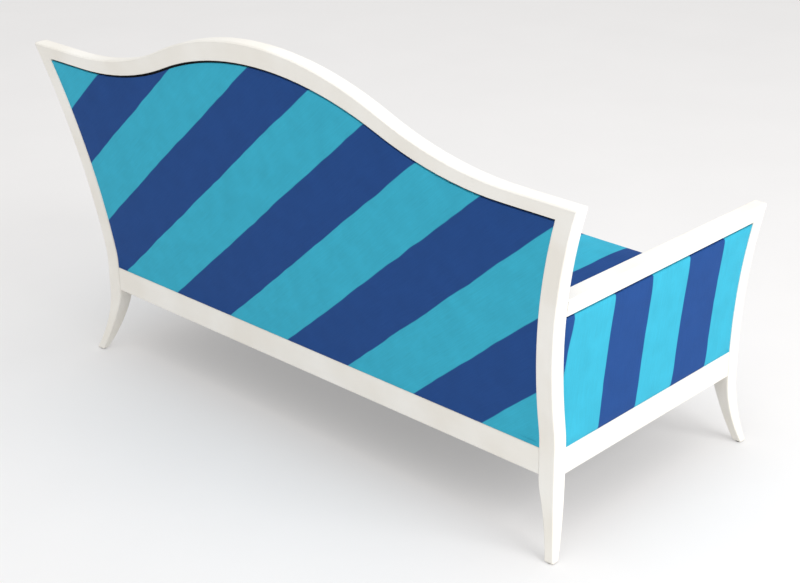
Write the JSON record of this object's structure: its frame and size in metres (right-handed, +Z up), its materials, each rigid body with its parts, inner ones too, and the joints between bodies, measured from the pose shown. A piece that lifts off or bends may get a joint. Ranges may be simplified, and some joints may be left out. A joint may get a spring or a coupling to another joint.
{
  "type": "camelback settee",
  "caption": "Camelback settee: white lacquered show-wood frame with flared sabre posts, serpentine crest, striped upholstered back and arms, and a loose bench seat cushion.",
  "frame": {"origin": "on the floor, under the middle of the settee's bounding box", "axes": "+X along the seat, towards the sitter's left; +Y to the rear; +Z up"},
  "size_m": [1.8452, 0.886, 1.0789],
  "materials": {
    "lacquered_frame": "warm white satin lacquer over hardwood",
    "inner_wood": "bare, sawn",
    "striped_cloth": "woven cotton with wide turquoise and blue stripes",
    "webbing": "plain woven jute",
    "dust_cloth": "thin black cloth",
    "glide": "dull black"
  },
  "bodies": {
    "frame": {"arm_board_left": "inner_wood", "arm_board_right": "inner_wood", "arm_rail_left": "lacquered_frame", "arm_rail_right": "lacquered_frame", "back_lower_strip": "inner_wood", "back_side_strip_left": "inner_wood", "back_side_strip_right": "inner_wood", "back_webbing": "webbing", "corner_block_front_left": "inner_wood", "corner_block_front_right": "inner_wood", "corner_block_rear_left": "inner_wood", "corner_block_rear_right": "inner_wood", "crest_rail": "lacquered_frame", "crest_strip": "inner_wood", "dust_cover": "dust_cloth", "front_post_left": "lacquered_frame", "front_post_right": "lacquered_frame", "front_seat_rail": "lacquered_frame", "glide_front_left": "glide", "glide_front_right": "glide", "glide_rear_left": "glide", "glide_rear_right": "glide", "inside_arm_pad_left": "striped_cloth", "inside_arm_pad_right": "striped_cloth", "inside_back_pad": "striped_cloth", "outside_arm_cover_left": "striped_cloth", "outside_arm_cover_right": "striped_cloth", "outside_back_cover": "striped_cloth", "rear_post_left": "lacquered_frame", "rear_post_right": "lacquered_frame", "rear_seat_rail": "lacquered_frame", "seat_centre_brace": "inner_wood", "seat_deck": "striped_cloth", "seat_webbing_cross": "webbing", "seat_webbing_long": "webbing", "side_seat_rail_left": "lacquered_frame", "side_seat_rail_right": "lacquered_frame"},
    "cushion": {"seat_cushion": "striped_cloth"}
  },
  "joints": [
    {"name": "cushion_lift", "type": "slide", "parent": "frame", "child": "cushion", "axis": [0, 0, 1], "range_m": [0, 0.36]}
  ]
}
